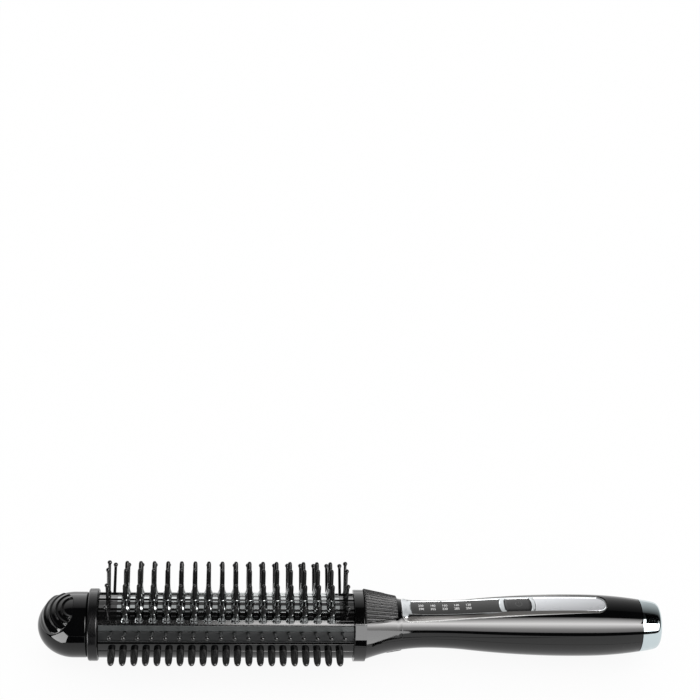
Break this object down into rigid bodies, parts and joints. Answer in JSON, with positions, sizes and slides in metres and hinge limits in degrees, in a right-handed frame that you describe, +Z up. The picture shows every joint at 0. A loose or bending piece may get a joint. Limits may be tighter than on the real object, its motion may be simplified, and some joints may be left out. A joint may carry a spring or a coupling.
{
  "type": "steam hair straightener brush",
  "caption": "Heated round brush with steam: capped heated teeth, ball-tipped guard pins, comb teeth behind, a pull-off water tank nose, and a handle with a power button and a steam trigger.",
  "frame": {"origin": "under the middle of the brush, on the plane of the two flats that it rests on", "axes": "+X along the brush from the nose to the end cap, +Z up through the heated teeth, Y across"},
  "size_m": [0.3326, 0.06, 0.0521],
  "materials": {
    "gloss_black_plastic": "polished, near black",
    "collar_dark_plastic": "semi-gloss, near black",
    "collar_grey_plastic": "satin dark grey",
    "heated_plate_coating": "smooth black ceramic coating on aluminium",
    "tooth_cap_plastic": "satin, heat resistant",
    "pin_plastic": "satin, with ball tips",
    "side_rail_plastic": "satin dark grey",
    "grip_rubber": "soft touch, matte",
    "pad_plastic": "gloss with raised arcs",
    "bezel_metallised": "bright metallised plastic",
    "window_plastic": "smoked, glossy",
    "name_plate_satin": "satin, bare",
    "button_plastic": "glossy",
    "trigger_plastic": "semi-gloss",
    "chromed_cap": "polished",
    "inner_frame_plastic": "glass-filled nylon",
    "steam_chamber_metal": "as cast",
    "heater_ceramic": "ceramic heating element",
    "insulating_film": "amber insulating film",
    "spring_steel": "bright wire or strip",
    "screw_steel": "zinc plated",
    "sensor_glass": "coated bead",
    "fuse_case": "thin drawn case",
    "wick_felt": "absorbent felt",
    "silicone_seal": "silicone",
    "valve_plastic": "acetal",
    "circuit_board": "solder mask",
    "lamp_plastic": "white lamp",
    "light_guide_plastic": "clear acrylic",
    "switch_plastic": "moulded",
    "power_part_plastic": "moulded cases",
    "wire_insulation": "silicone sleeved wire",
    "contact_brass": "turned"
  },
  "bodies": {
    "brush_body": {"front_collar": "collar_dark_plastic", "collar_screws": "screw_steel", "heater_plate": "heated_plate_coating", "tooth_caps_row_1": "tooth_cap_plastic", "tooth_caps_row_2": "tooth_cap_plastic", "tooth_caps_row_3": "tooth_cap_plastic", "tooth_caps_row_4": "tooth_cap_plastic", "end_pins_front": "pin_plastic", "end_pins_rear": "pin_plastic", "side_pins_left": "pin_plastic", "side_pins_right": "pin_plastic", "side_rail_left": "side_rail_plastic", "side_rail_right": "side_rail_plastic", "pin_strip_left": "gloss_black_plastic", "pin_strip_right": "gloss_black_plastic", "barrel_back_shell": "gloss_black_plastic", "comb_strip_left": "pin_plastic", "comb_strip_right": "pin_plastic", "barrel_chassis": "inner_frame_plastic", "steam_chamber": "steam_chamber_metal", "ptc_heater_front": "heater_ceramic", "ptc_heater_rear": "heater_ceramic", "heater_insulator": "insulating_film", "heater_clamp_spring": "spring_steel", "thermistor": "sensor_glass", "thermal_fuse": "fuse_case", "feed_wick": "wick_felt", "valve_rod_spring": "spring_steel", "trigger_spring": "spring_steel", "rear_collar": "collar_grey_plastic", "handle_upper_shell": "gloss_black_plastic", "handle_lower_shell": "gloss_black_plastic", "handle_screws": "screw_steel", "neck_grip": "grip_rubber", "bezel": "bezel_metallised", "display_window": "window_plastic", "name_plate": "name_plate_satin", "power_button_dome": "silicone_seal", "main_pcb": "circuit_board", "indicator_leds": "lamp_plastic", "light_guide": "light_guide_plastic", "tact_switch": "switch_plastic", "power_components": "power_part_plastic", "heater_leads": "wire_insulation", "mains_leads": "wire_insulation", "end_cap": "chromed_cap", "gland_retainer": "inner_frame_plastic", "swivel_contact_block": "contact_brass"},
    "nose_tank": {"nose_tank_shell": "gloss_black_plastic", "nose_grip_pad": "pad_plastic", "nose_tank_bulkhead": "inner_frame_plastic", "tank_seal": "silicone_seal", "fill_plug": "silicone_seal", "valve_stem_spring": "spring_steel"},
    "valve_stem": {"valve_stem": "valve_plastic"},
    "steam_trigger": {"steam_trigger": "trigger_plastic"},
    "valve_rod": {"valve_rod": "valve_plastic"},
    "power_button": {"power_button": "button_plastic"},
    "cord_gland": {"cord_gland": "switch_plastic"}
  },
  "joints": [
    {"name": "nose_tank_pull", "type": "slide", "parent": "brush_body", "child": "nose_tank", "axis": [-1, 0, 0], "range_m": [0, 0.03]},
    {"name": "trigger_press", "type": "slide", "parent": "brush_body", "child": "steam_trigger", "axis": [0, 0, 1], "range_m": [0, 0.002], "stiffness_N_per_m": 600, "deforming": ["trigger_spring"]},
    {"name": "valve_rod_push", "type": "slide", "parent": "brush_body", "child": "valve_rod", "axis": [-1, 0, 0], "range_m": [0, 0.002], "deforming": ["valve_rod_spring"]},
    {"name": "valve_stem_push", "type": "slide", "parent": "nose_tank", "child": "valve_stem", "axis": [-1, 0, 0], "range_m": [0, 0.002], "deforming": ["valve_stem_spring"]},
    {"name": "power_button_press", "type": "slide", "parent": "brush_body", "child": "power_button", "axis": [0, 0, -1], "range_m": [0, 0.0005], "stiffness_N_per_m": 1500, "deforming": ["power_button_dome"]},
    {"name": "cord_gland_spin", "type": "hinge", "parent": "brush_body", "child": "cord_gland", "pos_m": [0.15625, 0, 0.0195], "axis": [1, 0, 0], "continuous": true}
  ],
  "couplings": [
    {"joint": "valve_rod_push", "follows": "trigger_press", "ratio": 1},
    {"joint": "valve_stem_push", "follows": "trigger_press", "ratio": 1}
  ]
}
